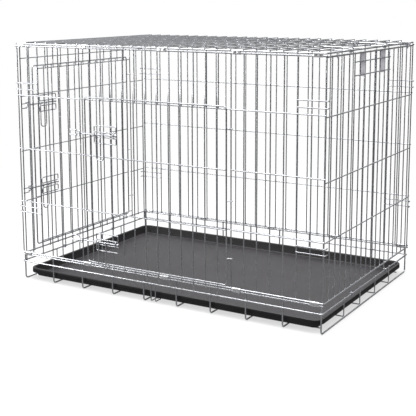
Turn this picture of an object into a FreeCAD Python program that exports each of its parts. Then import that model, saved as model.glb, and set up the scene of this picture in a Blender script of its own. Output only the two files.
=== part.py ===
import FreeCAD, Part
import math
import os
from FreeCAD import Placement, Rotation, Vector

# A folding wire dog crate: welded wire panels clipped along their long edges, a wire base with a
# plastic tray, two end panels that fold inward, and two doors, each with two slide bolts.
# +X runs along the crate to its plain end, -Y is the front with the large door, +Z is up.
# The origin is on the floor under the middle of the crate. Sizes are in millimetres.

os.makedirs("parts", exist_ok=True)
doc = FreeCAD.newDocument("WireDogCrate")
sheet = doc.addObject("Spreadsheet::Sheet", "Dims")

DRIVING = {
    # the whole crate and its wire
    "crate_length": 1090.0,
    "crate_depth": 710.0,
    "crate_height": 788.0,
    "rail_dia": 5.0,
    "bar_dia": 3.6,
    "cross_dia": 3.4,
    "foot_dia": 4.5,
    "thin_dia": 3.0,
    "weld_sink": 0.1,
    "run_gap": 0.35,
    "fold_gap": 0.5,
    "long_bays": 26.0,
    "end_bays": 17.0,
    # heights above the floor
    "ring_level": 62.0,
    "base_rail_level": 86.0,
    "edge_pitch": 7.0,
    "low_level": 266.0,
    "mid_level": 442.0,
    "high_level": 616.0,
    "end_low_level": 262.0,
    "end_mid_level": 430.0,
    "end_high_level": 610.0,
    "end_bottom": 88.0,
    "end_top": 772.0,
    # doors
    "door_overlap": 16.0,
    "hinge_setback": 11.0,
    "front_door_bottom": 101.0,
    "front_door_top": 624.0,
    "end_door_bottom": 101.0,
    "end_door_top": 705.0,
    "doorway_top": 695.0,
    "doorway_bottom": 108.0,
    "first_cross": 733.0,
    # latches
    "front_upper_latch": 511.0,
    "front_lower_latch": 170.0,
    "left_upper_latch": 577.0,
    "left_lower_latch": 296.0,
    "bolt_dia": 5.0,
    "bolt_reach": 27.0,
    "bore_slack": 0.06,
    "knob_dia": 8.4,
    "knob_place": 42.5,
    "collar_dia": 8.6,
    "collar_long": 4.0,
    "guard_half": 41.5,
    "guard_tall": 19.0,
    "guard_split": 8.2,
    "guard_bend": 4.0,
    "staple_place": 36.0,
    "handle_place": -17.8,
    "handle_width": 28.0,
    "handle_drop": 80.0,
    "handle_bend": 11.0,
    "handle_gap": 0.5,
    "keeper_half": 7.5,
    "keeper_back": 13.0,
    "keeper_flat": 10.0,
    "keeper_slope": 24.0,
    # base
    "foot_count": 10.0,
    "floor_pitch": 125.0,
    "edge_floor": 310.0,
    "foot_bend": 10.0,
    # tray
    "tray_length": 1063.0,
    "tray_depth": 683.0,
    "tray_wall": 2.5,
    "tray_low": 8.1,
    "tray_rim": 37.0,
    "rim_flange": 7.0,
    "rim_thick": 3.0,
    "rim_skirt": 15.0,
    "skirt_wall": 2.5,
    "tray_corner": 32.0,
    # clips
    "clip_length": 28.0,
    "clip_sheet": 1.0,
    "clip_slack": 0.1,
    # carrying bail
    "bail_dia": 4.0,
    "bail_reach": 88.0,
    "bail_slope": 36.0,
    "bail_lift": 0.4,
    "bail_bend": 6.0,
}


def store(values, first_row):
    """Writes named sizes to the sheet, one row each."""
    for row, (name, value) in enumerate(values.items(), first_row):
        sheet.set(f"A{row}", name)
        sheet.set(f"B{row}", str(round(value, 6)))
        sheet.setAlias(f"B{row}", name)


class Sizes:
    """The sheet's numbers under their own names."""


size = Sizes()
store(DRIVING, 1)
doc.recompute()
for name in DRIVING:
    setattr(size, name, float(sheet.get(name)))

# The layers of wire, outward from the middle of the crate: bars lie inside the rails, and the
# cross wires lie on the bars' outer side.
rail_y = size.crate_depth / 2 - size.rail_dia / 2
rail_x = size.crate_length / 2 - size.rail_dia / 2
bar_y = rail_y - (size.rail_dia + size.bar_dia) / 2 + size.weld_sink
cross_y = bar_y + (size.bar_dia + size.cross_dia) / 2 - size.weld_sink
leg_y = rail_y - (size.rail_dia + size.foot_dia) / 2 + size.weld_sink
leg_x = rail_x - (size.rail_dia + size.foot_dia) / 2 + size.weld_sink
curl_radius = size.rail_dia / 2 + size.run_gap + size.bar_dia / 2
end_bar_x = rail_x - curl_radius
end_cross_x = end_bar_x + (size.bar_dia + size.cross_dia) / 2 - size.weld_sink
end_rail_x = end_bar_x + (size.bar_dia + size.rail_dia) / 2 - size.weld_sink
eye_radius = size.bar_dia / 2 + size.run_gap + size.thin_dia / 2
end_half = bar_y - eye_radius - size.thin_dia / 2 - size.run_gap - size.bar_dia / 2
top_bar_z = size.crate_height - size.bar_dia / 2
top_rail_z = top_bar_z - (size.bar_dia + size.rail_dia) / 2 + size.weld_sink
top_wire_z = top_bar_z - (size.bar_dia + size.cross_dia) / 2 + size.weld_sink
panel_top = top_rail_z - size.edge_pitch
panel_bottom = size.base_rail_level + size.edge_pitch
long_bay = 2 * rail_x / size.long_bays
end_bay = 2 * end_half / size.end_bays
foot_z = size.foot_dia / 2
floor_z = size.foot_dia + size.cross_dia / 2 - size.weld_sink

WORKED_OUT = {
    "full_rail": size.crate_length,
    "end_rail_span": 2 * end_half + size.bar_dia,
    "top_end_span": size.crate_depth - 2 * size.rail_dia,
    "top_long_span": size.crate_length - 2 * size.rail_dia,
    "panel_bar": panel_top - panel_bottom + size.rail_dia,
    "end_bar": size.end_top - size.end_bottom + size.rail_dia,
    "curl_radius": curl_radius,
    "eye_radius": eye_radius,
    "floor_run": 2 * (leg_y - size.foot_bend),
    "floor_long_run": 2 * (rail_x - 2 * size.foot_bend),
}
store(WORKED_OUT, 1 + len(DRIVING))
doc.recompute()

TURN = {
    "x": Rotation(Vector(0, 1, 0), 90),
    "y": Rotation(Vector(1, 0, 0), -90),
    "z": Rotation(),
}
nodes = []


def finish_node(label, members):
    """One named piece, or one row of like pieces, which becomes one file."""
    if len(members) == 1:
        node = members[0]
    else:
        node = doc.addObject("Part::Compound", label)
        node.Links = members
    node.Label = label
    nodes.append(node)
    return node


def rod(way, x, y, z, length, dia):
    """A straight wire along an axis from a point. Its length and diameter name cells of the sheet."""
    wire = doc.addObject("Part::Cylinder", "wire")
    wire.Placement = Placement(Vector(x, y, z), TURN[way])
    wire.setExpression("Radius", f"Dims.{dia} / 2")
    if isinstance(length, str):
        wire.setExpression("Height", f"Dims.{length}")
    else:
        wire.Height = length
    return wire


def path_wire(points, bend):
    """Straight runs through the points, with each corner rounded to the bend radius."""
    points = [Vector(*p) for p in points]
    edges = []
    start = points[0]
    for before, corner, after in zip(points, points[1:], points[2:]):
        back = (before - corner).normalize()
        ahead = (after - corner).normalize()
        half = back.getAngle(ahead) / 2
        reach = bend / math.tan(half)
        middle = (back + ahead).normalize()
        enter = corner + back * reach
        leave = corner + ahead * reach
        crown = corner + middle * (bend / math.sin(half) - bend)
        edges.append(Part.LineSegment(start, enter).toShape())
        edges.append(Part.Arc(enter, crown, leave).toShape())
        start = leave
    edges.append(Part.LineSegment(start, points[-1]).toShape())
    return Part.Wire(edges)


def bent_shape(points, bend, dia):
    """A round wire bent along a path."""
    spine = path_wire(points, bend)
    first = spine.Edges[0]
    start = first.valueAt(first.FirstParameter)
    heading = first.tangentAt(first.FirstParameter)
    ring = Part.Wire(Part.makeCircle(dia / 2, start, heading))
    return spine.makePipeShell([ring], True, False)


def feature(shape):
    """A document object that holds a shape made above."""
    piece = doc.addObject("Part::Feature", "bent")
    piece.Shape = shape
    return piece


def on_front(along, out, up):
    """A point of a front-facing layer: along +X, out from the middle towards -Y."""
    return (along, -out, up)


def on_back(along, out, up):
    """The same layer on the back."""
    return (along, out, up)


def on_left(along, out, up):
    """A layer of the left end: along +Y from the front corner, out towards -X."""
    return (-out, along, up)


def on_right(along, out, up):
    """The same layer on the right end."""
    return (out, along, up)


def bar_row(face, places, out, low, length):
    """Upright bars side by side from one height, of one length or one named length."""
    return [rod("z", *face(place, out, low), length, "bar_dia") for place in places]


def long_bar(i):
    """Where bar i of a long panel stands, counted from the left end."""
    return -rail_x + i * long_bay


def end_bar(i):
    """Where bar i of an end panel stands, counted from the front."""
    return -end_half + i * end_bay


LONG_BARS = range(int(size.long_bays) + 1)
END_BARS = range(int(size.end_bays) + 1)
FRONT_WAY = (7, 19)
END_WAY = (2, 15)
HINGE_BARS = (5, 12)
bar_low = panel_bottom - size.rail_dia / 2
bar_high = panel_top + size.rail_dia / 2
end_low = size.end_bottom - size.rail_dia / 2
end_high = size.end_top + size.rail_dia / 2
half_long = size.crate_length / 2
end_span = end_half + size.bar_dia / 2

# The base: two long rails, a ring of wire below them, ten wires that run under the floor and up
# both sides, and the floor wires, which the tray lies on. Four of those turn up to the ring.
finish_node(
    "base_long_rails",
    [
        rod("x", -half_long, side * rail_y, size.base_rail_level, "full_rail", "rail_dia")
        for side in (-1, 1)
    ],
)
ring_long = [
    rod("x", -half_long, side * rail_y, size.ring_level, "full_rail", "rail_dia") for side in (-1, 1)
]
ring_ends = [
    rod("y", side * rail_x, -rail_y + size.rail_dia / 2, size.ring_level, "top_end_span", "rail_dia")
    for side in (-1, 1)
]
finish_node("base_ring_wires", ring_long + ring_ends)

foot_count = int(size.foot_count)
feet = [-leg_x + i * 2 * leg_x / (foot_count - 1) for i in range(foot_count)]
finish_node(
    "base_cross_wires",
    [rod("y", x, -leg_y + size.foot_bend, foot_z, "floor_run", "foot_dia") for x in feet],
)
leg_top = size.base_rail_level + size.rail_dia / 2


def leg(x, side):
    """The upright end of a cross wire: a quarter bend at the floor, then a straight run."""
    bend = size.foot_bend
    start = Vector(x, side * (leg_y - bend), foot_z)
    rise = Vector(x, side * leg_y, foot_z + bend)
    centre = start + Vector(0, 0, bend)
    slant = bend * math.sqrt(0.5)
    crown = centre + Vector(0, side * slant, -slant)
    arc = Part.Arc(start, crown, rise).toShape()
    run = Part.LineSegment(rise, Vector(x, side * leg_y, leg_top)).toShape()
    ring = Part.Wire(Part.makeCircle(size.foot_dia / 2, start, Vector(0, side, 0)))
    return feature(Part.Wire([arc, run]).makePipeShell([ring], True, False))


finish_node("base_legs", [leg(x, side) for x in feet for side in (-1, 1)])
floor_rows = [size.floor_pitch * n for n in (-1.5, -0.5, 0.5, 1.5)]
edge_rows = [-size.edge_floor, size.edge_floor]
finish_node(
    "base_floor_wires",
    [
        rod("x", -rail_x + 2 * size.foot_bend, y, floor_z, "floor_long_run", "cross_dia")
        for y in floor_rows + edge_rows
    ],
)
riser_x = rail_x - (size.rail_dia + size.cross_dia) / 2 + size.weld_sink


def floor_end(y, side):
    """The turned-up end of a floor wire, welded inside the ring."""
    points = [
        (side * (rail_x - 2 * size.foot_bend), y, floor_z),
        (side * riser_x, y, floor_z),
        (side * riser_x, y, size.ring_level + size.rail_dia / 2),
    ]
    return feature(bent_shape(points, size.foot_bend / 2, size.cross_dia))


finish_node("base_floor_ends", [floor_end(y, side) for y in floor_rows for side in (-1, 1)])


# The front and back panels. Every bar is a separate straight wire.
def level_wires(face, out, levels, spans):
    """Cross wires at each height, over each span along the panel."""
    way = "x" if face in (on_front, on_back) else "y"
    wires = []
    for level in levels:
        for start, end in spans:
            length = "full_rail" if end - start == size.crate_length else end - start
            wires.append(rod(way, *face(start, out, level), length, "cross_dia"))
    return wires


LEVELS = (size.low_level, size.mid_level, size.high_level)
way_left, way_right = (long_bar(i) for i in FRONT_WAY)
for side_name, face in (("front", on_front), ("back", on_back)):
    finish_node(
        f"{side_name}_rails",
        [
            rod("x", *face(-half_long, rail_y, level), "full_rail", "rail_dia")
            for level in (panel_bottom, panel_top)
        ],
    )
full_front = [i for i in LONG_BARS if not FRONT_WAY[0] < i < FRONT_WAY[1]]
over_door = [i for i in LONG_BARS if FRONT_WAY[0] < i < FRONT_WAY[1]]
over_low = size.high_level - size.cross_dia / 2
finish_node(
    "front_bars",
    bar_row(on_front, [long_bar(i) for i in full_front], bar_y, bar_low, "panel_bar")
    + bar_row(on_front, [long_bar(i) for i in over_door], bar_y, over_low, bar_high - over_low),
)
back_places = [long_bar(i) for i in LONG_BARS]
finish_node("back_bars", bar_row(on_back, back_places, bar_y, bar_low, "panel_bar"))
beside_way = [(-half_long, way_left), (way_right, half_long)]
whole = [(-half_long, half_long)]
finish_node(
    "front_cross_wires",
    level_wires(on_front, cross_y, LEVELS[:2], beside_way)
    + level_wires(on_front, cross_y, LEVELS[2:], whole),
)
finish_node("back_cross_wires", level_wires(on_back, cross_y, LEVELS, whole))

# Pairs of hooks on the front and back panels reach round the corners and stop the end panels.
HOOK_LEVELS = (655.0, 635.0, 248.0, 230.0)
hook_clear = 6.0
hook_out = rail_x + hook_clear
hook_tip = 338.0
hook_bend = 3.5
for side_name, face in (("front", on_front), ("back", on_back)):
    hooks = []
    for level in HOOK_LEVELS:
        for end in (-1, 1):
            run = [
                face(end * (rail_x - 2 * long_bay), cross_y, level),
                face(end * hook_out, cross_y, level),
                face(end * hook_out, hook_tip, level),
            ]
            hooks.append(feature(bent_shape(run, hook_bend, size.cross_dia)))
    finish_node(f"{side_name}_corner_hooks", hooks)

# The top panel: long rails, end rails between them, bars over the rails and wires under the bars.
top_long = [rod("x", -half_long, side * rail_y, top_rail_z, "full_rail", "rail_dia") for side in (-1, 1)]
top_ends = [
    rod("y", side * rail_x, -rail_y + size.rail_dia / 2, top_rail_z, "top_end_span", "rail_dia")
    for side in (-1, 1)
]
finish_node("top_rails", top_long + top_ends)
top_bars = []
for i in list(LONG_BARS)[1:-1]:
    bar = rod("y", long_bar(i), -size.crate_depth / 2, top_bar_z, size.crate_depth, "bar_dia")
    bar.setExpression("Height", "Dims.crate_depth")
    top_bars.append(bar)
finish_node("top_bars", top_bars)
top_rows = [size.crate_depth * n / 10 for n in (-3, -1, 1, 3)]
finish_node(
    "top_long_wires",
    [rod("x", -rail_x + size.rail_dia / 2, y, top_wire_z, "top_long_span", "cross_dia") for y in top_rows],
)

# Small V hooks hang from the top panel's end rails, just outside the end panels.
vee_y = 285.0
vee_half = 7.0
vee_out = size.crate_length / 2 + size.thin_dia / 2 - size.weld_sink
vee_drop = 21.0
vee_rise = 1.0
vee_bend = 2.5
vees = []
for end in (-1, 1):
    for y in (-vee_y, vee_y):
        run = [
            (end * vee_out, y - vee_half, top_rail_z + vee_rise),
            (end * vee_out, y, top_rail_z - vee_drop),
            (end * vee_out, y + vee_half, top_rail_z + vee_rise),
        ]
        vees.append(feature(bent_shape(run, vee_bend, size.thin_dia)))
finish_node("top_end_hooks", vees)


# Crimped sheet clips, five along each long edge, wrap the two rails that meet there. Each sits
# between two bars.
def oblong(radius, low_z, high_z, x, y):
    """A face with round ends about two parallel rails, square to X."""
    left, right = y - radius, y + radius
    a, b = Vector(x, left, low_z), Vector(x, left, high_z)
    c, d = Vector(x, right, high_z), Vector(x, right, low_z)
    top = Part.Arc(b, Vector(x, y, high_z + radius), c).toShape()
    bottom = Part.Arc(d, Vector(x, y, low_z - radius), a).toShape()
    outline = [Part.LineSegment(a, b).toShape(), top, Part.LineSegment(c, d).toShape(), bottom]
    return Part.Face(Part.Wire(outline))


CLIP_PLACES = (-519.0, -271.0, 21.0, 271.0, 519.0)
clip_inner = size.rail_dia / 2 + size.clip_slack
clip_outer = clip_inner + size.clip_sheet
for name, side, low_z in (
    ("front_top_clips", -1, panel_top),
    ("back_top_clips", 1, panel_top),
    ("front_base_clips", -1, size.base_rail_level),
    ("back_base_clips", 1, size.base_rail_level),
):
    clips = []
    for place in CLIP_PLACES:
        x = place - size.clip_length / 2
        outline = oblong(clip_outer, low_z, low_z + size.edge_pitch, x, side * rail_y)
        hollow = oblong(clip_inner, low_z, low_z + size.edge_pitch, x, side * rail_y)
        reach = Vector(size.clip_length, 0, 0)
        clips.append(feature(outline.extrude(reach).cut(hollow.extrude(reach))))
    finish_node(name, clips)

# A wire U on the front of the base, from the ring under the tray.
tray_clip_x = -24.0
tray_clip_half = 8.0
tray_clip_y = rail_y - size.rail_dia / 2 - size.thin_dia / 2 + size.weld_sink
tray_clip_rise = 6.0
tray_clip_bend = 4.0
tray_clip_top = size.ring_level + tray_clip_rise
tray_clip_in = 318.0
clip_left, clip_right = tray_clip_x - tray_clip_half, tray_clip_x + tray_clip_half
clip_run = [
    (clip_left, -tray_clip_y, tray_clip_top),
    (clip_left, -tray_clip_y, floor_z),
    (clip_left, -tray_clip_in, floor_z),
    (clip_right, -tray_clip_in, floor_z),
    (clip_right, -tray_clip_y, floor_z),
    (clip_right, -tray_clip_y, tray_clip_top),
]
finish_node("tray_clip", [feature(bent_shape(clip_run, tray_clip_bend, size.thin_dia))])

# The tray: a tapered moulded pan with a flat rim, whose outer edge turns down as a skirt.
tray = doc.addObject("PartDesign::Body", "tray")
tray.Label = "tray"


def origin_plane(body, role):
    return [f for f in body.Origin.OriginFeatures if f.Role == role][0]


def round_rectangle(body, name, level, *insets):
    """A sketch at a height: one rectangle with round corners for each inset from the rim's edge."""
    sketch = body.newObject("Sketcher::SketchObject", name)
    sketch.AttachmentSupport = [(origin_plane(body, "XY_Plane"), "")]
    sketch.MapMode = "FlatFace"
    sketch.setExpression("AttachmentOffset.Base.z", level)
    for inset in insets:
        half_l, half_d = size.tray_length / 2 - inset, size.tray_depth / 2 - inset
        r = size.tray_corner - inset
        corners = ((1, 1, 0), (-1, 1, 90), (-1, -1, 180), (1, -1, 270))
        ends = []
        for sx, sy, angle in corners:
            centre = Vector(sx * (half_l - r), sy * (half_d - r), 0)
            begin, finish = math.radians(angle), math.radians(angle + 90)
            circle = Part.Circle(centre, Vector(0, 0, 1), r)
            sketch.addGeometry(Part.ArcOfCircle(circle, begin, finish))
            first = centre + Vector(math.cos(begin), math.sin(begin), 0) * r
            last = centre + Vector(math.cos(finish), math.sin(finish), 0) * r
            ends.append((first, last))
        for (_, last), (first, _) in zip(ends, ends[1:] + ends[:1]):
            sketch.addGeometry(Part.LineSegment(last, first))
    return sketch


pan_slope = 20.0
pan_rise = size.tray_rim - size.tray_low
pan_lean = pan_rise * math.tan(math.radians(pan_slope))
pan = tray.newObject("PartDesign::Pad", "pan")
pan.Profile = round_rectangle(tray, "pan_outline", "Dims.tray_low", size.rim_flange + pan_lean)
pan.setExpression("Length", "Dims.tray_rim - Dims.tray_low")
pan.TaperAngle = pan_slope
rim = tray.newObject("PartDesign::Pad", "rim")
rim.Profile = round_rectangle(tray, "rim_outline", "Dims.tray_rim - Dims.rim_thick", 0.0)
rim.setExpression("Length", "Dims.rim_thick")
skirt = tray.newObject("PartDesign::Pad", "skirt")
skirt.Profile = round_rectangle(tray, "skirt_outline", "Dims.tray_rim - Dims.rim_skirt", 0.0, size.skirt_wall)
skirt.setExpression("Length", "Dims.rim_skirt")
doc.recompute()
before_hollow = tray.Shape.Volume
hollow = tray.newObject("PartDesign::Pocket", "hollow")
hollow.Profile = round_rectangle(tray, "hollow_outline", "Dims.tray_rim", size.rim_flange + size.tray_wall)
hollow.setExpression("Length", "Dims.tray_rim - Dims.tray_low - Dims.tray_wall")
hollow.TaperAngle = -pan_slope
hollow.Reversed = False
doc.recompute()
if tray.Shape.Volume > 0.5 * before_hollow:
    raise ValueError("the tray's hollow cut nothing")
nodes.append(tray)


# The end panels. Two of each panel's bars run down into eyes that turn on the base ring.
def end_hinge(end, i, top):
    """A hinge bar with an eye round the ring's end wire."""
    bar = rod("z", end * end_bar_x, end_bar(i), size.ring_level, top - size.ring_level, "bar_dia")
    eye = doc.addObject("Part::Torus", "eye")
    eye.setExpression("Radius1", "Dims.curl_radius")
    eye.setExpression("Radius2", "Dims.bar_dia / 2")
    seam_inward = Rotation(Vector(0, 0, 1), 180 if end > 0 else 0)
    eye.Placement = Placement(
        Vector(end * rail_x, end_bar(i), size.ring_level), TURN["y"].multiply(seam_inward)
    )
    joined = doc.addObject("Part::Fuse", "hinge")
    joined.Base = bar
    joined.Tool = eye
    return joined


corner_stub = 4.0
corner_low = size.ring_level - corner_stub
inner_bars = [i for i in END_BARS if i not in (0, END_BARS[-1]) and i not in HINGE_BARS]
corners = [end_bar(0), end_bar(END_BARS[-1])]
way_front, way_back = (end_bar(i) for i in END_WAY)
sill_high = size.doorway_bottom + size.cross_dia / 2
head_low = size.doorway_top - size.cross_dia / 2
for end_name, face, end in (("left_end", on_left, -1), ("right_end", on_right, 1)):
    finish_node(
        f"{end_name}_rails",
        [
            rod("y", *face(-end_span, end_rail_x, level), "end_rail_span", "rail_dia")
            for level in (size.end_bottom, size.end_top)
        ],
    )
    bars = bar_row(face, corners, end_bar_x, corner_low, end_high - corner_low)
    if end_name == "right_end":
        bars += bar_row(face, [end_bar(i) for i in inner_bars], end_bar_x, end_low, "end_bar")
        hinge_top = end_high
    else:
        standing = [end_bar(i) for i in inner_bars if not END_WAY[0] < i < END_WAY[1]]
        under = [end_bar(i) for i in inner_bars if END_WAY[0] < i < END_WAY[1]]
        above = [end_bar(i) for i in END_BARS if END_WAY[0] < i < END_WAY[1]]
        bars += bar_row(face, standing, end_bar_x, end_low, "end_bar")
        bars += bar_row(face, under, end_bar_x, end_low, sill_high - end_low)
        bars += bar_row(face, above, end_bar_x, head_low, end_high - head_low)
        hinge_top = sill_high
    finish_node(f"{end_name}_bars", bars)
    finish_node(f"{end_name}_hinges", [end_hinge(end, i, hinge_top) for i in HINGE_BARS])

END_LEVELS = (size.end_low_level, size.end_mid_level, size.end_high_level)
across = [(-end_span, end_span)]
beside = [(-end_span, way_front), (way_back, end_span)]
handle_levels = (747.0, 708.0)
finish_node(
    "left_end_cross_wires",
    level_wires(on_left, end_cross_x, END_LEVELS, beside)
    + level_wires(on_left, end_cross_x, (size.first_cross,), across)
    + level_wires(on_left, end_cross_x, (size.doorway_top, size.doorway_bottom), [(way_front, way_back)]),
)
short_span = [(end_bar(HINGE_BARS[0]), end_bar(HINGE_BARS[1]))]
finish_node(
    "right_end_cross_wires",
    level_wires(on_right, end_cross_x, END_LEVELS, across)
    + level_wires(on_right, end_cross_x, handle_levels, short_span),
)

# Two sheet plates fill a bay each, behind the right end's short wires and its top rail.
plate_wide = 35.0
plate_thick = 1.2
plate_hang = 5.0
plate_rise = 1.0
plate_low = handle_levels[1] - plate_hang
plate_high = size.end_top + plate_rise
plate_in = end_cross_x - size.cross_dia / 2 - plate_thick + size.weld_sink / 2
plates = []
for i in (6.5, 10.5):
    plate = doc.addObject("Part::Box", "plate")
    plate.Length = plate_thick
    plate.Width = plate_wide
    plate.Height = plate_high - plate_low
    plate.Placement = Placement(Vector(plate_in, end_bar(i) - plate_wide / 2, plate_low), Rotation())
    plates.append(plate)
finish_node("right_end_plates", plates)


# A door hangs outside its panel. Its hinge eyes turn on the doorway's bar.
def layers(panel_cross):
    """How far out a door's inner face, bars, frame, cross wires and bolts lie."""
    inner = panel_cross + size.cross_dia / 2 + size.fold_gap
    bar_out = inner + size.bar_dia / 2
    frame_out = inner + size.foot_dia / 2
    wire_out = bar_out + (size.bar_dia + size.cross_dia) / 2 - size.weld_sink
    bolt_out = inner + size.bar_dia + size.run_gap + size.collar_dia / 2
    return bar_out, frame_out, wire_out, bolt_out


def hinge_eye(face, hinge_at, panel_bar, frame_out, level):
    """An eye round the doorway's bar, with a stub that meets the door's frame."""
    turn = math.atan2(frame_out - panel_bar, size.hinge_setback)
    reach = math.hypot(frame_out - panel_bar, size.hinge_setback)
    centre = Vector(*face(hinge_at, panel_bar, level))
    heading = Vector(*face(-math.cos(turn), math.sin(turn), 0))
    eye = doc.addObject("Part::Torus", "eye")
    eye.setExpression("Radius1", "Dims.eye_radius")
    eye.setExpression("Radius2", "Dims.thin_dia / 2")
    eye.Placement = Placement(centre, Rotation())
    arm = doc.addObject("Part::Cylinder", "arm")
    arm.setExpression("Radius", "Dims.thin_dia / 2")
    arm.Height = reach - eye_radius - size.foot_dia / 2 + size.weld_sink / 2
    arm.Placement = Placement(centre + heading * eye_radius, Rotation(Vector(0, 0, 1), heading))
    joined = doc.addObject("Part::Fuse", "hinge")
    joined.Base = eye
    joined.Tool = arm
    return joined


def guard_loops(face, middle, wire_out, z):
    """Two closed loops of wire, one above the bolt and one below it."""
    first, last = middle - size.guard_half, middle + size.guard_half
    loops = []
    for side in (-1, 1):
        near_z = z + side * size.guard_split
        far_z = near_z + side * size.guard_tall
        run = [
            face(middle, wire_out, near_z),
            face(first, wire_out, near_z),
            face(first, wire_out, far_z),
            face(last, wire_out, far_z),
            face(last, wire_out, near_z),
            face(middle, wire_out, near_z),
        ]
        loops.append(feature(bent_shape(run, size.guard_bend, size.cross_dia)))
    return loops


def staple(face, place, wire_out, bolt_out, z):
    """A staple that bridges the two loops over the bolt."""
    foot = wire_out + size.cross_dia / 2 - size.weld_sink / 2
    over = bolt_out + size.bolt_dia / 2 + size.run_gap + size.thin_dia / 2
    low, high = z - size.guard_split, z + size.guard_split
    run = [face(place, foot, low), face(place, over, low), face(place, over, high), face(place, foot, high)]
    return feature(bent_shape(run, size.thin_dia, size.thin_dia))


def slide_bolt(face, tip, tail, bolt_out, z):
    """A straight wire bolt with a round knob at its tail."""
    way = "x" if face is on_front else "y"
    shank = rod(way, *face(tip, bolt_out, z), tail - tip, "bolt_dia")
    knob = doc.addObject("Part::Sphere", "knob")
    knob.setExpression("Radius", "Dims.knob_dia / 2")
    knob.Placement = Placement(Vector(*face(tail, bolt_out, z)), Rotation())
    joined = doc.addObject("Part::Fuse", "bolt")
    joined.Base = shank
    joined.Tool = knob
    return joined


def drop_handle(face, middle, wire_out, bolt_out, z):
    """A U of wire with a collar at each end that turns on the bolt."""
    leg_out = wire_out + size.cross_dia + size.handle_gap
    places = (middle - size.handle_width / 2, middle + size.handle_width / 2)
    run = [
        face(places[0], leg_out, z),
        face(places[0], leg_out, z - size.handle_drop),
        face(places[1], leg_out, z - size.handle_drop),
        face(places[1], leg_out, z),
    ]
    grip = bent_shape(run, size.handle_bend, size.cross_dia)
    heading = Vector(*face(1, 0, 0))
    for place in places:
        start = Vector(*face(place - size.collar_long / 2, bolt_out, z))
        grip = grip.fuse(Part.makeCylinder(size.collar_dia / 2, size.collar_long, start, heading))
    bore = size.bolt_dia / 2 + size.bore_slack
    start = Vector(*face(middle - size.handle_width, bolt_out, z))
    hole = Part.makeCylinder(bore, 2 * size.handle_width, start, heading)
    return feature(grip.cut(hole).removeSplitter())


def door(name, face, panel_bar, panel_cross, doorway, bars, low, high, levels, eyes, latches):
    """Makes every node of one door. The doorway is its free side and its hinge side."""
    way = "x" if face is on_front else "y"
    bar_out, frame_out, wire_out, bolt_out = layers(panel_cross)
    half = size.foot_dia / 2
    free = doorway[0] - size.door_overlap
    hung = doorway[1] - size.hinge_setback
    finish_node(
        f"{name}_frame",
        [
            rod("z", *face(free, frame_out, low - half), high - low + 2 * half, "foot_dia"),
            rod("z", *face(hung, frame_out, low - half), high - low + 2 * half, "foot_dia"),
            rod(way, *face(free + half, frame_out, low), hung - free - 2 * half, "foot_dia"),
            rod(way, *face(free + half, frame_out, high), hung - free - 2 * half, "foot_dia"),
        ],
    )
    finish_node(f"{name}_bars", bar_row(face, bars, bar_out, low + half, high - low - 2 * half))
    finish_node(
        f"{name}_cross_wires",
        level_wires(face, wire_out, levels, [(free + half, hung - half)]),
    )
    finish_node(
        f"{name}_hinges",
        [hinge_eye(face, doorway[1], panel_bar, frame_out, level) for level in eyes],
    )

    middle = (bars[0] + bars[1]) / 2
    loops, staples = [], []
    for z in latches.values():
        loops += guard_loops(face, middle, wire_out, z)
        for side in (-1, 1):
            staples.append(staple(face, middle + side * size.staple_place, wire_out, bolt_out, z))
    finish_node(f"{name}_guards", loops)
    finish_node(f"{name}_staples", staples)
    for latch, z in latches.items():
        tip, tail = free - size.bolt_reach, middle + size.knob_place
        finish_node(f"{latch}_bolt", [slide_bolt(face, tip, tail, bolt_out, z)])
        handle = drop_handle(face, middle + size.handle_place, wire_out, bolt_out, z)
        finish_node(f"{latch}_handle", [handle])


front_latches = {"front_upper": size.front_upper_latch, "front_lower": size.front_lower_latch}
left_latches = {"left_upper": size.left_upper_latch, "left_lower": size.left_lower_latch}
FRONT_EYES = (180.0, 350.0, 560.0)
LEFT_EYES = (170.0, 350.0, 640.0)
door(
    "front_door",
    on_front,
    bar_y,
    cross_y,
    (way_left, way_right),
    [long_bar(i) for i in range(FRONT_WAY[0] + 1, FRONT_WAY[1])],
    size.front_door_bottom,
    size.front_door_top,
    (size.low_level, size.mid_level),
    FRONT_EYES,
    front_latches,
)
door(
    "left_door",
    on_left,
    end_bar_x,
    end_cross_x,
    (way_front, way_back),
    [end_bar(i) for i in range(END_WAY[0] + 1, END_WAY[1])],
    size.end_door_bottom,
    size.end_door_top,
    END_LEVELS,
    LEFT_EYES,
    left_latches,
)


def keeper(face, panel_cross, free, anchor, z):
    """A hairpin on the panel that stands over a bolt's tip."""
    bolt_out = layers(panel_cross)[-1]
    over = bolt_out + size.bolt_dia / 2 + size.run_gap + size.cross_dia / 2
    closed = free - size.keeper_back
    raised, low = closed - size.keeper_flat, closed - size.keeper_slope
    outline = [(anchor, panel_cross), (low, panel_cross), (raised, over), (closed, over)]
    top = [face(place, out, z + size.keeper_half) for place, out in outline]
    bottom = [face(place, out, z - size.keeper_half) for place, out in reversed(outline)]
    return feature(bent_shape(top + bottom, size.cross_dia, size.cross_dia))


front_free = way_left - size.door_overlap
left_free = way_front - size.door_overlap
front_anchor, left_anchor = long_bar(5), end_bar(0)
finish_node(
    "front_keepers",
    [keeper(on_front, cross_y, front_free, front_anchor, z) for z in front_latches.values()],
)
finish_node(
    "left_end_keepers",
    [keeper(on_left, end_cross_x, left_free, left_anchor, z) for z in left_latches.values()],
)

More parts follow.
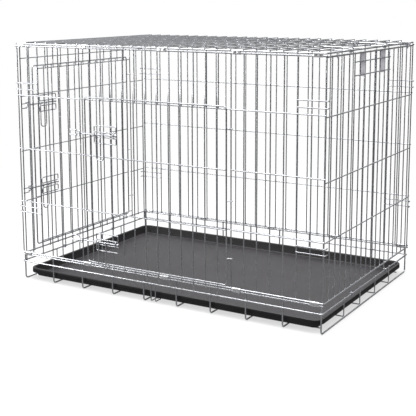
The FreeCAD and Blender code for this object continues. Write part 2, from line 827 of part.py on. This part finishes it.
# The carrying bail lies on the top panel and turns on the right end rail.
bail_radius = size.rail_dia / 2 + size.run_gap + size.bail_dia / 2
bail_y = (-185.0, 85.0)
bail_lie = size.crate_height + size.bail_lift + size.bail_dia / 2
bail_x = size.crate_length / 2 - size.bail_reach
run = [
    (rail_x, bail_y[0], top_rail_z + bail_radius),
    (rail_x - size.bail_slope, bail_y[0], bail_lie),
    (bail_x, bail_y[0], bail_lie),
    (bail_x, bail_y[1], bail_lie),
    (rail_x - size.bail_slope, bail_y[1], bail_lie),
    (rail_x, bail_y[1], top_rail_z + bail_radius),
]
bail = bent_shape(run, size.bail_bend, size.bail_dia)
for y in bail_y:
    centre = Vector(rail_x, y, top_rail_z)
    bail = bail.fuse(Part.makeTorus(bail_radius, size.bail_dia / 2, centre, Vector(0, 1, 0)))
finish_node("carry_handle", [feature(bail.removeSplitter())])

doc.recompute()
failed = [o.Name for o in doc.Objects if "Invalid" in o.State or "Error" in o.State]
if failed:
    raise ValueError(f"objects failed: {failed}")
for node in nodes:
    if node.Shape.isNull() or not node.Shape.isValid() or not node.Shape.Solids:
        raise ValueError(f"{node.Label} has no valid solid")
    if min(solid.Volume for solid in node.Shape.Solids) <= 0:
        raise ValueError(f"{node.Label} has a solid that is inside out")
for node in nodes:
    node.Shape.exportStep(f"parts/{node.Label}.step")
box = Part.makeCompound([node.Shape for node in nodes]).BoundBox
print(len(nodes), "nodes", sum(len(node.Shape.Solids) for node in nodes), "solids", box)
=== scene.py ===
import bmesh
import bpy
import math
from mathutils import Matrix, Vector


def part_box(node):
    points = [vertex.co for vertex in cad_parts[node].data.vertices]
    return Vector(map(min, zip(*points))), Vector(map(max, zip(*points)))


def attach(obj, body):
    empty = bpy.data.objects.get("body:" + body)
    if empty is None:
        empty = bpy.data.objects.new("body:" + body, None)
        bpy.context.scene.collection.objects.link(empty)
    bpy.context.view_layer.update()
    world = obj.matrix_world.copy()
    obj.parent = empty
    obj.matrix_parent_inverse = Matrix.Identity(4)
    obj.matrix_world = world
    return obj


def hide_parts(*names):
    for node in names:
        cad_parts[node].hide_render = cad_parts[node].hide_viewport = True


# A folding wire dog crate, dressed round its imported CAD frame. Lengths are in metres.
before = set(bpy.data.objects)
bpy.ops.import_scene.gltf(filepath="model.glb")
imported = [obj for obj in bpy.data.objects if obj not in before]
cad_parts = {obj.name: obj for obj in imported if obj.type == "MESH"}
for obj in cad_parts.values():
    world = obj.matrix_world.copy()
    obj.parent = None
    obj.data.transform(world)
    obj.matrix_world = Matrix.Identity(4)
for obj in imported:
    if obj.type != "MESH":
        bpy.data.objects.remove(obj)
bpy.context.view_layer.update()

# ---------------------------------------------------------------------------------------------
# Base ring. One 5 mm steel rod bent to a rectangle and butt welded at the back, then zinc plated.
# The two end panels turn on its end wires, and the long rails above it carry the clips.


def zinc(name, bright, dull, roughness):
    """Bright zinc plate: cloudy patches a few centimetres long over fine drawing marks."""
    material = bpy.data.materials.new(name)
    material.use_nodes = True
    tree = material.node_tree
    shader = tree.nodes["Principled BSDF"]
    shader.inputs["Metallic"].default_value = 1.0
    place = tree.nodes.new("ShaderNodeTexCoord")

    cloud = tree.nodes.new("ShaderNodeTexNoise")
    cloud.inputs["Scale"].default_value = 45.0
    cloud.inputs["Detail"].default_value = 5.0
    cloud.inputs["Roughness"].default_value = 0.6
    tree.links.new(place.outputs["Object"], cloud.inputs["Vector"])
    colour = tree.nodes.new("ShaderNodeValToRGB")
    colour.color_ramp.elements[0].position = 0.32
    colour.color_ramp.elements[0].color = (*dull, 1.0)
    colour.color_ramp.elements[1].position = 0.62
    colour.color_ramp.elements[1].color = (*bright, 1.0)
    tree.links.new(cloud.outputs["Fac"], colour.inputs["Fac"])
    tree.links.new(colour.outputs["Color"], shader.inputs["Base Color"])

    haze = tree.nodes.new("ShaderNodeMapRange")
    haze.inputs["From Min"].default_value = 0.3
    haze.inputs["From Max"].default_value = 0.7
    haze.inputs["To Min"].default_value = roughness + 0.12
    haze.inputs["To Max"].default_value = roughness - 0.06
    tree.links.new(cloud.outputs["Fac"], haze.inputs["Value"])
    tree.links.new(haze.outputs["Result"], shader.inputs["Roughness"])

    grain = tree.nodes.new("ShaderNodeTexNoise")
    grain.inputs["Scale"].default_value = 1400.0
    grain.inputs["Detail"].default_value = 3.0
    tree.links.new(place.outputs["Object"], grain.inputs["Vector"])
    bump = tree.nodes.new("ShaderNodeBump")
    bump.inputs["Strength"].default_value = 0.1
    bump.inputs["Distance"].default_value = 0.0002
    tree.links.new(grain.outputs["Fac"], bump.inputs["Height"])
    tree.links.new(bump.outputs["Normal"], shader.inputs["Normal"])
    return material


def coat(material, *nodes):
    """Gives CAD nodes a finish."""
    for node in nodes:
        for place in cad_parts[node].material_slots:
            place.material = material


def keep_mesh(name, piece):
    """A plain mesh object with the shape that a curve or a stack of modifiers gives."""
    bpy.context.view_layer.update()
    depsgraph = bpy.context.evaluated_depsgraph_get()
    mesh = bpy.data.meshes.new_from_object(piece.evaluated_get(depsgraph))
    solid = bpy.data.objects.new(name, mesh)
    bpy.context.scene.collection.objects.link(solid)
    bpy.data.objects.remove(piece)
    for face in mesh.polygons:
        face.use_smooth = True
    return solid


def fitted(piece, body, material):
    """Puts a finished piece on its body, in its finish."""
    piece.data.materials.clear()
    piece.data.materials.append(material)
    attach(piece, body)
    return piece


def bent_loop(name, low, high, flat, bend):
    """A round rod bent to a closed rectangle that fills a box. flat is the box's thin axis."""
    radius = (high[flat] - low[flat]) / 2
    across, along = [axis for axis in range(3) if axis != flat]
    centre = (low + high) / 2
    reach_across = (high[across] - low[across]) / 2 - radius - bend
    reach_along = (high[along] - low[along]) / 2 - radius - bend
    steps = 8
    points = []
    for quarter, (sign_across, sign_along) in enumerate(((1, 1), (-1, 1), (-1, -1), (1, -1))):
        for step in range(steps + 1):
            angle = math.radians(90.0 * (quarter + step / steps))
            point = centre.copy()
            point[across] += sign_across * reach_across + bend * math.cos(angle)
            point[along] += sign_along * reach_along + bend * math.sin(angle)
            points.append(point)
    line = bpy.data.curves.new(name, "CURVE")
    line.dimensions = "3D"
    line.bevel_depth = radius
    line.bevel_resolution = 3
    spline = line.splines.new("POLY")
    spline.points.add(len(points) - 1)
    for spot, point in zip(spline.points, points):
        spot.co = (*point, 1.0)
    spline.use_cyclic_u = True
    rod = bpy.data.objects.new(f"{name}_line", line)
    bpy.context.scene.collection.objects.link(rod)
    return keep_mesh(name, rod)


RAIL_ZINC = zinc("rail_zinc", (0.58, 0.59, 0.61), (0.42, 0.43, 0.46), 0.23)
ring_bend = 0.006
base_ring = bent_loop("base_ring", *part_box("base_ring_wires"), flat=2, bend=ring_bend)
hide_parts("base_ring_wires")
fitted(base_ring, "cage", RAIL_ZINC)
coat(RAIL_ZINC, "base_long_rails")

# ---------------------------------------------------------------------------------------------
# Base wires. Ten wires run under the floor and turn up both long sides, and the floor wires lie
# across them. Every crossing is spot welded, which leaves a low nugget squeezed out round it.
WIRE_ZINC = zinc("wire_zinc", (0.56, 0.57, 0.59), (0.40, 0.41, 0.44), 0.24)
coat(WIRE_ZINC, "base_cross_wires", "base_legs", "base_floor_wires", "base_floor_ends", "tray_clip")


def wires_of(node):
    """The box of each separate wire in a CAD node, found from its loose parts."""
    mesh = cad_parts[node].data
    places_per_metre = 1e5
    group = {}

    def top_of(key):
        while group[key] != key:
            group[key] = group[group[key]]
            key = group[key]
        return key

    keys = [tuple(round(c * places_per_metre) for c in vertex.co) for vertex in mesh.vertices]
    for key in keys:
        group[key] = key
    for edge in mesh.edges:
        group[top_of(keys[edge.vertices[0]])] = top_of(keys[edge.vertices[1]])
    boxes = {}
    for key, vertex in zip(keys, mesh.vertices):
        low, high = boxes.setdefault(top_of(key), (vertex.co.copy(), vertex.co.copy()))
        for axis in range(3):
            low[axis] = min(low[axis], vertex.co[axis])
            high[axis] = max(high[axis], vertex.co[axis])
    return list(boxes.values())


def spot_welds(name, body, pairs):
    """One mesh of the weld nuggets wherever wires of two CAD nodes cross and touch."""
    touch = 0.0002
    thickness_share = 0.30
    width_share = 0.62
    nuggets = bmesh.new()
    for first, second in pairs:
        seconds = wires_of(second)
        for low_a, high_a in wires_of(first):
            for low_b, high_b in seconds:
                low = Vector(map(max, low_a, low_b))
                high = Vector(map(min, high_a, high_b))
                size = high - low
                if min(size) < -touch:
                    continue
                normal = min(range(3), key=lambda axis: size[axis])
                reach = [width_share * size[axis] for axis in range(3)]
                reach[normal] = thickness_share * min(size[axis] for axis in range(3) if axis != normal)
                middle = (low + high) / 2
                spread = Matrix.Diagonal((*reach, 1.0))
                bmesh.ops.create_icosphere(
                    nuggets, subdivisions=2, radius=1.0, matrix=Matrix.Translation(middle) @ spread
                )
    mesh = bpy.data.meshes.new(name)
    nuggets.to_mesh(mesh)
    nuggets.free()
    for face in mesh.polygons:
        face.use_smooth = True
    piece = bpy.data.objects.new(name, mesh)
    bpy.context.scene.collection.objects.link(piece)
    return fitted(piece, body, WIRE_ZINC)


spot_welds(
    "base_welds",
    "cage",
    [
        ("base_legs", "base_long_rails"),
        ("base_legs", "base_ring_wires"),
        ("base_cross_wires", "base_floor_wires"),
        ("base_floor_ends", "base_ring_wires"),
    ],
)

# ---------------------------------------------------------------------------------------------
# Tray. Moulded black plastic: a flat floor, a low leaning wall, and a flat rim with a bead along it
# whose outer edge turns down as a skirt. It only lies on the floor wires, and lifts out.
tray_low, tray_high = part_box("tray")
tray_corner = 0.032


def tray_plastic(name, dark, worn, gloss, roughness):
    """Black plastic with a leathery mould grain, and wear that changes its sheen."""
    material = bpy.data.materials.new(name)
    material.use_nodes = True
    tree = material.node_tree
    shader = tree.nodes["Principled BSDF"]
    shader.inputs["Specular IOR Level"].default_value = gloss
    place = tree.nodes.new("ShaderNodeTexCoord")

    wear = tree.nodes.new("ShaderNodeTexNoise")
    wear.inputs["Scale"].default_value = 6.0
    wear.inputs["Detail"].default_value = 7.0
    wear.inputs["Roughness"].default_value = 0.62
    tree.links.new(place.outputs["Object"], wear.inputs["Vector"])
    colour = tree.nodes.new("ShaderNodeValToRGB")
    colour.color_ramp.elements[0].position = 0.3
    colour.color_ramp.elements[0].color = (*dark, 1.0)
    colour.color_ramp.elements[1].position = 0.72
    colour.color_ramp.elements[1].color = (*worn, 1.0)
    tree.links.new(wear.outputs["Fac"], colour.inputs["Fac"])
    tree.links.new(colour.outputs["Color"], shader.inputs["Base Color"])
    sheen = tree.nodes.new("ShaderNodeMapRange")
    sheen.inputs["To Min"].default_value = roughness - 0.08
    sheen.inputs["To Max"].default_value = roughness + 0.08
    tree.links.new(wear.outputs["Fac"], sheen.inputs["Value"])
    tree.links.new(sheen.outputs["Result"], shader.inputs["Roughness"])

    grain = tree.nodes.new("ShaderNodeTexVoronoi")
    grain.feature = "SMOOTH_F1"
    grain.inputs["Scale"].default_value = 650.0
    tree.links.new(place.outputs["Object"], grain.inputs["Vector"])
    bump = tree.nodes.new("ShaderNodeBump")
    bump.inputs["Strength"].default_value = 0.2
    bump.inputs["Distance"].default_value = 0.0004
    tree.links.new(grain.outputs["Distance"], bump.inputs["Height"])
    tree.links.new(bump.outputs["Normal"], shader.inputs["Normal"])
    return material


def tray_ring(form, inset, height, corner):
    """A rectangle with round corners, that far inside the rim's edge, as a row of vertices."""
    half_x = (tray_high.x - tray_low.x) / 2 - inset - corner
    half_y = (tray_high.y - tray_low.y) / 2 - inset - corner
    steps = 10
    row = []
    for quarter, (sign_x, sign_y) in enumerate(((1, 1), (-1, 1), (-1, -1), (1, -1))):
        for step in range(steps + 1):
            angle = math.radians(90.0 * (quarter + step / steps))
            x = sign_x * half_x + corner * math.cos(angle)
            y = sign_y * half_y + corner * math.sin(angle)
            row.append(form.verts.new((x, y, height)))
    return row


def tray_section():
    """The section from the middle of the underside, round the skirt and back to the floor: how far
    inside the rim's edge each line lies, and its height."""
    base, top = tray_low.z, tray_high.z
    skin = 0.0025
    hem = top - 0.0150
    under_rim = top - 0.0030
    under = [
        (0.024, base),
        (0.0185, base + 0.0006),
        (0.0166, base + 0.0028),
        (0.0100, under_rim - 0.0020),
        (0.0086, under_rim),
        (0.0034, under_rim),
        (0.0025, under_rim - 0.0010),
        (0.0024, hem + 0.0006),
    ]
    skirt = [
        (0.0018, hem),
        (0.0006, hem),
        (0.0001, hem + 0.0008),
        (0.0003, top - 0.0024),
        (0.0010, top - 0.0008),
        (0.0024, top),
    ]
    inside = [
        (0.0040, top - 0.0002),
        (0.0050, top - 0.0012),
        (0.0062, top - 0.0012),
        (0.0074, top - 0.0001),
        (0.0092, top - 0.0004),
        (0.0104, top - 0.0026),
        (0.0178, base + skin + 0.0040),
        (0.0200, base + skin + 0.0012),
        (0.0240, base + skin),
    ]
    return under + skirt + inside


pan = bmesh.new()
rows = [tray_ring(pan, inset, height, tray_corner - inset) for inset, height in tray_section()]
for row, following in zip(rows, rows[1:]):
    for here in range(len(row)):
        after = (here + 1) % len(row)
        pan.faces.new((row[here], row[after], following[after], following[here]))
pan.faces.new(rows[-1])
pan.faces.new(reversed(rows[0]))
bmesh.ops.recalc_face_normals(pan, faces=pan.faces)
pan_mesh = bpy.data.meshes.new("plastic_tray")
pan.to_mesh(pan_mesh)
pan.free()
whole_floor_area = 0.1
for face in pan_mesh.polygons:
    face.use_smooth = face.area < whole_floor_area
plastic_tray = bpy.data.objects.new("plastic_tray", pan_mesh)
bpy.context.scene.collection.objects.link(plastic_tray)
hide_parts("tray")
TRAY_FLAT = tray_plastic("tray_plastic", (0.024, 0.022, 0.024), (0.034, 0.032, 0.035), 0.5, 0.42)
# The steep faces get a darker, less glossy copy of the same plastic. This is painted shade: the real
# tray is one colour all over.
TRAY_WALL_PAINTED_SHADE = tray_plastic("tray_wall_painted_shade", (0.007, 0.006, 0.007), (0.012, 0.011, 0.012), 0.18, 0.5)
fitted(plastic_tray, "tray", TRAY_FLAT)
pan_mesh.materials.append(TRAY_WALL_PAINTED_SHADE)
# The walls, the skirt and the bead sides take the painted shade copy, and the flat faces keep the plain
# plastic.
steep = 0.7
for face in pan_mesh.polygons:
    face.material_index = 1 if abs(face.normal.z) < steep else 0

# ---------------------------------------------------------------------------------------------
# Front panel. Two rails, upright bars and level wires, each bar spot welded inside the rails. The
# bars over the doorway are short, and pairs of bent wires at the corners stop the end panels.
coat(RAIL_ZINC, "front_rails")
coat(WIRE_ZINC, "front_bars", "front_cross_wires", "front_corner_hooks")
spot_welds(
    "front_panel_welds",
    "cage",
    [
        ("front_bars", "front_rails"),
        ("front_bars", "front_cross_wires"),
        ("front_bars", "front_corner_hooks"),
    ],
)

# ---------------------------------------------------------------------------------------------
# Back panel. The same as the front, with no doorway.
coat(RAIL_ZINC, "back_rails")
coat(WIRE_ZINC, "back_bars", "back_cross_wires", "back_corner_hooks")
spot_welds(
    "back_panel_welds",
    "cage",
    [
        ("back_bars", "back_rails"),
        ("back_bars", "back_cross_wires"),
        ("back_bars", "back_corner_hooks"),
    ],
)

# ---------------------------------------------------------------------------------------------
# Top panel. A rod bent round all four edges, bars laid over it, and long wires under the bars.
# The small V hooks at its ends are pushed over the end panels once those stand up.
top_frame = bent_loop("top_frame", *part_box("top_rails"), flat=2, bend=ring_bend)
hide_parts("top_rails")
fitted(top_frame, "cage", RAIL_ZINC)
coat(WIRE_ZINC, "top_bars", "top_long_wires", "top_end_hooks")
spot_welds(
    "top_panel_welds",
    "cage",
    [("top_bars", "top_rails"), ("top_bars", "top_long_wires"), ("top_long_wires", "top_rails")],
)

# ---------------------------------------------------------------------------------------------
# Clips. Strips of 1 mm galvanised sheet rolled round the two rails that meet along each long
# edge and squeezed between them, so that the panels turn in them like a hinge.
clip_gauge = 0.001


def galvanised_sheet():
    """Hot dipped sheet with flat crystal patches a few millimetres wide."""
    material = bpy.data.materials.new("galvanised_sheet")
    material.use_nodes = True
    tree = material.node_tree
    shader = tree.nodes["Principled BSDF"]
    shader.inputs["Metallic"].default_value = 1.0
    place = tree.nodes.new("ShaderNodeTexCoord")
    spangle = tree.nodes.new("ShaderNodeTexVoronoi")
    spangle.inputs["Scale"].default_value = 260.0
    tree.links.new(place.outputs["Object"], spangle.inputs["Vector"])
    tone = tree.nodes.new("ShaderNodeValToRGB")
    tone.color_ramp.elements[0].color = (0.70, 0.71, 0.73, 1.0)
    tone.color_ramp.elements[1].color = (0.90, 0.91, 0.92, 1.0)
    split = tree.nodes.new("ShaderNodeSeparateColor")
    tree.links.new(spangle.outputs["Color"], split.inputs["Color"])
    tree.links.new(split.outputs["Red"], tone.inputs["Fac"])
    tree.links.new(tone.outputs["Color"], shader.inputs["Base Color"])
    gloss = tree.nodes.new("ShaderNodeMapRange")
    gloss.inputs["To Min"].default_value = 0.22
    gloss.inputs["To Max"].default_value = 0.42
    tree.links.new(split.outputs["Green"], gloss.inputs["Value"])
    tree.links.new(gloss.outputs["Result"], shader.inputs["Roughness"])
    return material


def rolled_clip(sheet, low, high, inward):
    """One clip as an open strip: round both rails, pinched between them, its seam inward."""
    half_gauge = clip_gauge / 2
    radius = (high.y - low.y) / 2 - half_gauge
    middle = (low + high) / 2
    rail_gap = (high.z - low.z) / 2 - half_gauge - radius
    seam = 0.0011
    crimp_depth = 0.0011
    crimp_waves = 2.0
    crimp_reach = rail_gap * 0.95
    stations = 15
    steps = 12
    profile = []
    for step in range(steps + 1):
        angle = math.pi * step / steps
        profile.append((inward * radius * math.cos(angle), rail_gap + radius * math.sin(angle)))
    profile = [(inward * radius, seam)] + profile
    mirrored = [(y, -z) for y, z in reversed(profile)]
    waist = [(-inward * radius, z) for z in (rail_gap * 0.5, 0.0, -rail_gap * 0.5)]
    outline = profile + waist + mirrored
    rows = []
    for station in range(stations):
        part = station / (stations - 1)
        x = low.x + (high.x - low.x) * part
        crimp = crimp_depth * max(0.0, math.cos(2.0 * math.pi * crimp_waves * (part - 0.5))) ** 2
        row = []
        for y, z in outline:
            pinch = crimp * max(0.0, 1.0 - abs(z) / crimp_reach)
            y -= math.copysign(pinch, y)
            row.append(sheet.verts.new((x, middle.y + y, middle.z + z)))
        rows.append(row)
    for row, following in zip(rows, rows[1:]):
        for here in range(len(row) - 1):
            sheet.faces.new((row[here], row[here + 1], following[here + 1], following[here]))


def clip_row(name, node, inward):
    """The five clips of one edge, rolled from sheet with dressed edges."""
    sheet = bmesh.new()
    for low, high in wires_of(node):
        rolled_clip(sheet, low, high, inward)
    mesh = bpy.data.meshes.new(f"{name}_sheet")
    sheet.to_mesh(mesh)
    sheet.free()
    strip = bpy.data.objects.new(f"{name}_strip", mesh)
    bpy.context.scene.collection.objects.link(strip)
    gauge = strip.modifiers.new("gauge", "SOLIDIFY")
    gauge.thickness = clip_gauge
    gauge.offset = 0.0
    dress = strip.modifiers.new("dressed_edges", "BEVEL")
    dress.width = 0.00025
    dress.segments = 2
    dress.limit_method = "ANGLE"
    piece = keep_mesh(name, strip)
    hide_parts(node)
    return fitted(piece, "cage", CLIP_SHEET)


CLIP_SHEET = galvanised_sheet()
clip_row("front_top_rolled_clips", "front_top_clips", 1)
clip_row("back_top_rolled_clips", "back_top_clips", -1)
clip_row("front_base_rolled_clips", "front_base_clips", 1)
clip_row("back_base_rolled_clips", "back_base_clips", -1)

# ---------------------------------------------------------------------------------------------
# Right end panel. Bars from side to side between two rails, two of them curled round the base
# ring as hinges. Two short wires near its top carry a pair of pale lacquered sheet plates.
coat(RAIL_ZINC, "right_end_rails")
coat(WIRE_ZINC, "right_end_bars", "right_end_hinges", "right_end_cross_wires")
spot_welds(
    "right_end_welds",
    "right_end",
    [
        ("right_end_bars", "right_end_rails"),
        ("right_end_bars", "right_end_cross_wires"),
        ("right_end_hinges", "right_end_rails"),
        ("right_end_hinges", "right_end_cross_wires"),
    ],
)


def pale_lacquer():
    """Thin pale grey lacquer with a little orange peel and faint rubbed streaks."""
    material = bpy.data.materials.new("pale_lacquer")
    material.use_nodes = True
    tree = material.node_tree
    shader = tree.nodes["Principled BSDF"]
    shader.inputs["Roughness"].default_value = 0.45
    place = tree.nodes.new("ShaderNodeTexCoord")
    rub = tree.nodes.new("ShaderNodeTexNoise")
    rub.inputs["Scale"].default_value = 60.0
    rub.inputs["Detail"].default_value = 4.0
    tree.links.new(place.outputs["Object"], rub.inputs["Vector"])
    tone = tree.nodes.new("ShaderNodeValToRGB")
    tone.color_ramp.elements[0].position = 0.3
    tone.color_ramp.elements[0].color = (0.62, 0.61, 0.66, 1.0)
    tone.color_ramp.elements[1].position = 0.7
    tone.color_ramp.elements[1].color = (0.72, 0.71, 0.76, 1.0)
    tree.links.new(rub.outputs["Fac"], tone.inputs["Fac"])
    tree.links.new(tone.outputs["Color"], shader.inputs["Base Color"])
    peel = tree.nodes.new("ShaderNodeTexNoise")
    peel.inputs["Scale"].default_value = 900.0
    tree.links.new(place.outputs["Object"], peel.inputs["Vector"])
    bump = tree.nodes.new("ShaderNodeBump")
    bump.inputs["Strength"].default_value = 0.2
    bump.inputs["Distance"].default_value = 0.0002
    tree.links.new(peel.outputs["Fac"], bump.inputs["Height"])
    tree.links.new(bump.outputs["Normal"], shader.inputs["Normal"])
    return material


def pressed_plate(form, low, high):
    """A plate of sheet with a shallow panel pressed into it and round corners."""
    columns, rows = 14, 20
    corner = 0.004
    sunk = 0.0006
    slope_at_ends = 0.008
    slope_at_sides = 0.4
    grid = []
    for level in range(rows + 1):
        line = []
        z = low.z + (high.z - low.z) * level / rows
        near_end = min(z - low.z, high.z - z)
        trim = corner - math.sqrt(max(0.0, corner**2 - (corner - min(near_end, corner)) ** 2))
        for column in range(columns + 1):
            across = 2.0 * column / columns - 1.0
            y = (low.y + high.y) / 2 + across * ((high.y - low.y) / 2 - trim)
            inset = min(1.0, near_end / slope_at_ends, (1.0 - abs(across)) / slope_at_sides)
            line.append(form.verts.new(((low.x + high.x) / 2 - sunk * inset, y, z)))
        grid.append(line)
    for line, above in zip(grid, grid[1:]):
        for here in range(columns):
            form.faces.new((line[here], line[here + 1], above[here + 1], above[here]))


plate_form = bmesh.new()
for plate_low, plate_high in wires_of("right_end_plates"):
    pressed_plate(plate_form, plate_low, plate_high)
plate_mesh = bpy.data.meshes.new("plate_sheet")
plate_form.to_mesh(plate_mesh)
plate_form.free()
plate_blank = bpy.data.objects.new("plate_blank", plate_mesh)
bpy.context.scene.collection.objects.link(plate_blank)
plate_gauge = plate_blank.modifiers.new("gauge", "SOLIDIFY")
plate_gauge.thickness = 0.0006
plate_gauge.offset = 0.0
end_plates = keep_mesh("end_plates", plate_blank)
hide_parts("right_end_plates")
fitted(end_plates, "right_end", pale_lacquer())

# ---------------------------------------------------------------------------------------------
# Left end panel. Like the right one, with a doorway between its second and fifteenth bars: short
# bars stand under the sill wire and hang above the head wire.
coat(RAIL_ZINC, "left_end_rails")
coat(WIRE_ZINC, "left_end_bars", "left_end_hinges", "left_end_cross_wires")
spot_welds(
    "left_end_welds",
    "left_end",
    [
        ("left_end_bars", "left_end_rails"),
        ("left_end_bars", "left_end_cross_wires"),
        ("left_end_hinges", "left_end_rails"),
        ("left_end_hinges", "left_end_cross_wires"),
    ],
)

# ---------------------------------------------------------------------------------------------
# Front door. A 4.5 mm rod bent to a rectangle, bars between its long sides, level wires outside
# them, and three eyes closed round the doorway's bar.
LATCH_ZINC = zinc("latch_zinc", (0.62, 0.63, 0.65), (0.44, 0.45, 0.48), 0.26)


def dress_door(name):
    """A door's bent frame, its wires and its welds."""
    low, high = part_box(f"{name}_frame")
    flat = 1 if name == "front_door" else 0
    rod = bent_loop(f"{name}_bent_frame", low, high, flat, bend=0.009)
    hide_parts(f"{name}_frame")
    fitted(rod, name, RAIL_ZINC)
    coat(WIRE_ZINC, f"{name}_bars", f"{name}_cross_wires", f"{name}_hinges")
    coat(LATCH_ZINC, f"{name}_guards", f"{name}_staples")
    spot_welds(
        f"{name}_welds",
        name,
        [
            (f"{name}_bars", f"{name}_frame"),
            (f"{name}_bars", f"{name}_cross_wires"),
            (f"{name}_bars", f"{name}_guards"),
            (f"{name}_guards", f"{name}_staples"),
        ],
    )


dress_door("front_door")

# ---------------------------------------------------------------------------------------------
# Left door. The same make as the front door, taller and narrower, on the left end panel.
dress_door("left_door")

# ---------------------------------------------------------------------------------------------
# Latches. Each is a plated rod that slides under two staples, with a drop handle of bent wire that
# turns on it in two collars. The staples bridge two wire loops, and a hairpin keeper takes its tip.
for latch in ("front_upper", "front_lower", "left_upper", "left_lower"):
    coat(LATCH_ZINC, f"{latch}_bolt", f"{latch}_handle")
coat(LATCH_ZINC, "front_keepers", "left_end_keepers")

# ---------------------------------------------------------------------------------------------
# Carrying bail. A 4 mm rod with an eye at each end round the top panel's right end rail. It lies
# on the top bars until the folded crate is picked up by it.
coat(LATCH_ZINC, "carry_handle")

# ---------------------------------------------------------------------------------------------
# Studio. A round of pale paper that fades into a white background, one wide soft light overhead and
# a softer one from the left. The room that the metal mirrors is bright above and dim round the sides.
floor_form = bmesh.new()
bmesh.ops.create_circle(floor_form, cap_ends=True, radius=2.6, segments=96)
floor_mesh = bpy.data.meshes.new("floor")
floor_form.to_mesh(floor_mesh)
floor_form.free()
floor = bpy.data.objects.new("floor", floor_mesh)
bpy.context.scene.collection.objects.link(floor)
just_under_feet = -0.0004
floor.location.z = just_under_feet
floor.visible_glossy = False
paper = bpy.data.materials.new("floor_paper")
paper.use_nodes = True
paper_tree = paper.node_tree
paper_shader = paper_tree.nodes["Principled BSDF"]
paper_shader.inputs["Base Color"].default_value = (0.22, 0.22, 0.22, 1.0)
paper_shader.inputs["Roughness"].default_value = 0.9
paper_shader.inputs["Emission Color"].default_value = (1.0, 1.0, 1.0, 1.0)
paper_shader.inputs["Emission Strength"].default_value = 0.62
paper_place = paper_tree.nodes.new("ShaderNodeTexCoord")
far_out = paper_tree.nodes.new("ShaderNodeVectorMath")
far_out.operation = "LENGTH"
paper_tree.links.new(paper_place.outputs["Object"], far_out.inputs[0])
fade = paper_tree.nodes.new("ShaderNodeMapRange")
fade.interpolation_type = "SMOOTHSTEP"
fade.inputs["From Min"].default_value = 1.0
fade.inputs["From Max"].default_value = 2.5
fade.inputs["To Min"].default_value = 1.0
fade.inputs["To Max"].default_value = 0.0
paper_tree.links.new(far_out.outputs["Value"], fade.inputs["Value"])
paper_tree.links.new(fade.outputs["Result"], paper_shader.inputs["Alpha"])
floor_mesh.materials.append(paper)

world = bpy.data.worlds.new("studio")
world.use_nodes = True
bpy.context.scene.world = world
room = world.node_tree
backdrop = room.nodes["Background"]
look_dir = room.nodes.new("ShaderNodeTexCoord")
heights = room.nodes.new("ShaderNodeSeparateXYZ")
room.links.new(look_dir.outputs["Generated"], heights.inputs["Vector"])
lift = room.nodes.new("ShaderNodeMapRange")
lift.inputs["From Min"].default_value = -1.0
lift.inputs["From Max"].default_value = 1.0
room.links.new(heights.outputs["Z"], lift.inputs["Value"])
shades = room.nodes.new("ShaderNodeValToRGB")
shades.color_ramp.elements[0].position = 0.0
shades.color_ramp.elements[0].color = (0.42, 0.42, 0.42, 1.0)
shades.color_ramp.elements[1].position = 1.0
shades.color_ramp.elements[1].color = (1.1, 1.1, 1.1, 1.0)
for place, shade in ((0.34, 0.36), (0.41, 0.16), (0.46, 0.03), (0.55, 0.03), (0.64, 0.45), (0.78, 1.10)):
    stop = shades.color_ramp.elements.new(place)
    stop.color = (shade, shade, shade, 1.0)
room.links.new(lift.outputs["Result"], shades.inputs["Fac"])
rays = room.nodes.new("ShaderNodeLightPath")
seen = room.nodes.new("ShaderNodeMix")
seen.data_type = "RGBA"
seen.inputs["B"].default_value = (1.0, 1.0, 1.0, 1.0)
room.links.new(rays.outputs["Is Camera Ray"], seen.inputs["Factor"])
room.links.new(shades.outputs["Color"], seen.inputs["A"])
room.links.new(seen.outputs["Result"], backdrop.inputs["Color"])
backdrop.inputs["Strength"].default_value = 1.0


def softbox(name, place, aim, width, depth, watts):
    """A rectangular area light that faces a point."""
    light = bpy.data.lights.new(name, "AREA")
    light.shape = "RECTANGLE"
    light.size = width
    light.size_y = depth
    light.energy = watts
    lamp = bpy.data.objects.new(name, light)
    lamp.location = place
    lamp.rotation_euler = (Vector(aim) - Vector(place)).to_track_quat("-Z", "Y").to_euler()
    bpy.context.scene.collection.objects.link(lamp)


softbox("overhead", (0.0, -0.4, 3.0), (0.0, 0.0, 0.3), width=3.2, depth=2.4, watts=150.0)
softbox("left_fill", (-2.8, -2.6, 1.3), (0.0, 0.0, 0.4), width=0.9, depth=2.2, watts=60.0)

bpy.context.scene.view_settings.view_transform = "Standard"

# The camera stands in front of the crate's right end, a little above it.
camera_turn = math.radians(29.73)
camera_tilt = math.radians(9.13)
lens = bpy.data.cameras.new("camera")
lens.lens = 80.3
lens.sensor_width = 36.0
lens.shift_x = -0.05
lens.shift_y = -0.15
camera = bpy.data.objects.new("camera", lens)
camera.location = (1.537, -2.614, 0.931)
camera_aim = Vector(
    (
        -math.sin(camera_turn) * math.cos(camera_tilt),
        math.cos(camera_turn) * math.cos(camera_tilt),
        -math.sin(camera_tilt),
    )
)
camera.rotation_euler = camera_aim.to_track_quat("-Z", "Y").to_euler()
bpy.context.scene.collection.objects.link(camera)
bpy.context.scene.camera = camera
